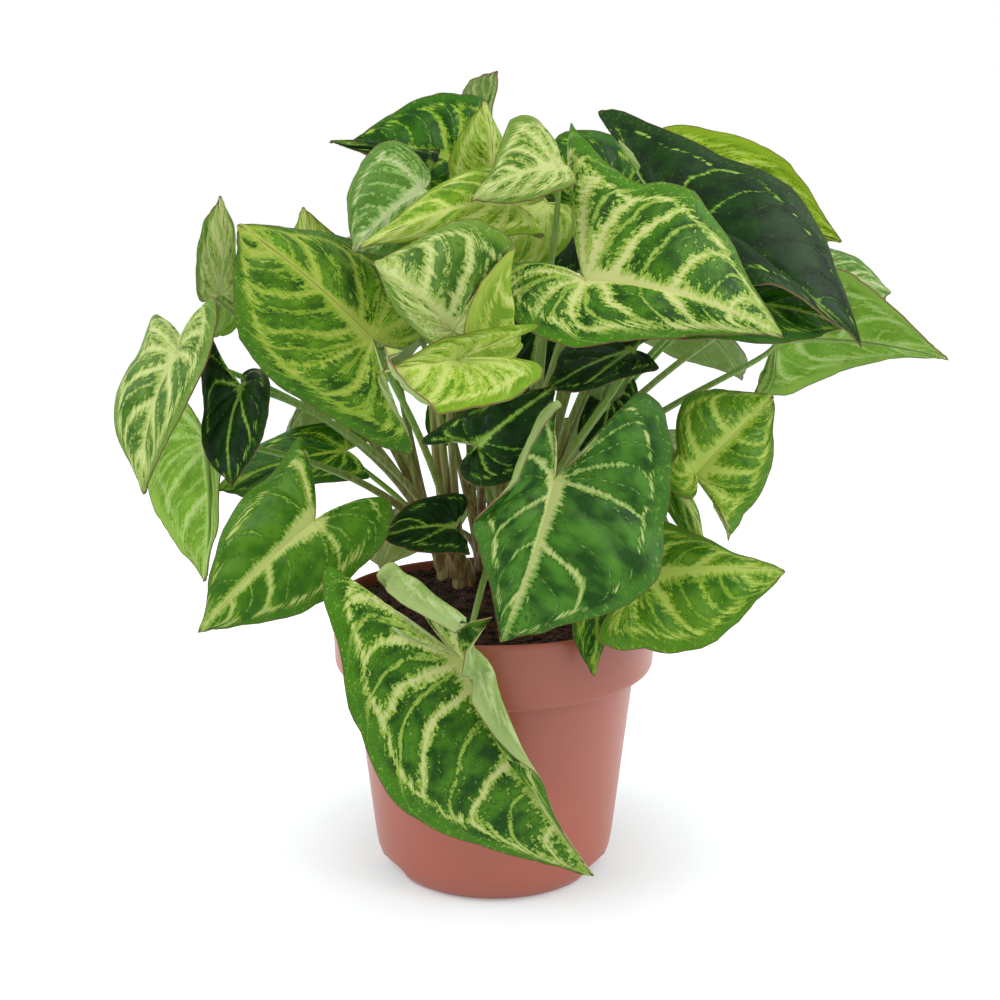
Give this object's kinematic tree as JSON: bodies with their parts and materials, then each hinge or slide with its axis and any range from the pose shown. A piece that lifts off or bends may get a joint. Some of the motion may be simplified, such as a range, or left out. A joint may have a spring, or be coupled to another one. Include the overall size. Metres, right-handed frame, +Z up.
{
  "type": "potted syngonium",
  "caption": "Arrowhead vine with variegated heart-shaped leaves on bundled stalks, planted in soil in a tapered plastic nursery pot with a rim band.",
  "frame": {"origin": "centre of the pot's underside, on the surface it stands on", "axes": "+Z up along the pot's axis, -Y the front, with the two largest hanging leaves; +X to the right seen from the front"},
  "size_m": [0.3244, 0.2244, 0.3151],
  "materials": {
    "pot": "satin",
    "soil": "matte",
    "leaf_dark": "satin",
    "leaf_mid": "satin",
    "leaf_lime": "satin",
    "leaf_pale": "satin",
    "stem": "satin"
  },
  "bodies": {
    "root": {"pot": "pot", "soil": "soil", "leaf_heart_front": "leaf_dark", "leaf_draped_front": "leaf_mid", "leaf_right_low": "leaf_mid", "leaf_small_front": "leaf_dark", "leaf_crown_low": "leaf_dark", "leaf_arrow_left": "leaf_mid", "leaf_pale_centre": "leaf_lime", "leaf_pale_lower": "leaf_lime", "leaf_big_centre": "leaf_mid", "leaf_under_centre": "leaf_dark", "leaf_dark_centre": "leaf_dark", "leaf_grey_centre": "leaf_pale", "leaf_light_left": "leaf_lime", "leaf_twisted_left": "leaf_pale", "leaf_folded_left": "leaf_pale", "leaf_hanging_left": "leaf_lime", "leaf_curled_left": "leaf_dark", "leaf_lime_left": "leaf_lime", "leaf_back_left": "leaf_dark", "leaf_right_mid": "leaf_mid", "leaf_right_inner": "leaf_mid", "leaf_right_far": "leaf_lime", "leaf_dark_top": "leaf_dark", "leaf_under_dark": "leaf_dark", "leaf_pale_right": "leaf_pale", "leaf_lime_top": "leaf_lime", "leaf_round_top": "leaf_pale", "leaf_lime_upper": "leaf_lime", "leaf_pale_upper": "leaf_pale", "leaf_lime_upright": "leaf_lime", "leaf_rolled_tip": "leaf_dark", "leaf_dark_top_left": "leaf_dark", "leaf_top_tip": "leaf_lime", "leaf_green_back": "leaf_mid", "leaf_lime_middle": "leaf_lime", "leaf_dark_middle": "leaf_dark", "leaf_inner_back": "leaf_dark", "leaf_inner_right": "leaf_dark", "leaf_inner_left": "leaf_mid", "leaf_spike_left": "leaf_lime", "leaf_back_upper": "leaf_mid", "leaf_back_upper_left": "leaf_mid", "leaf_back_upper_right": "leaf_mid", "leaf_back_left_mid": "leaf_mid", "leaf_back_mid": "leaf_mid", "leaf_back_right_mid": "leaf_mid", "leaf_back_side_left": "leaf_mid", "leaf_back_low": "leaf_mid", "leaf_back_low_left": "leaf_mid", "leaf_back_low_right": "leaf_mid", "leaf_back_low_side": "leaf_mid", "shoot_front_left": "stem", "shoot_front_right": "stem", "shoot_right": "stem", "shoot_back": "stem", "shoot_left": "stem"}
  },
  "joints": []
}
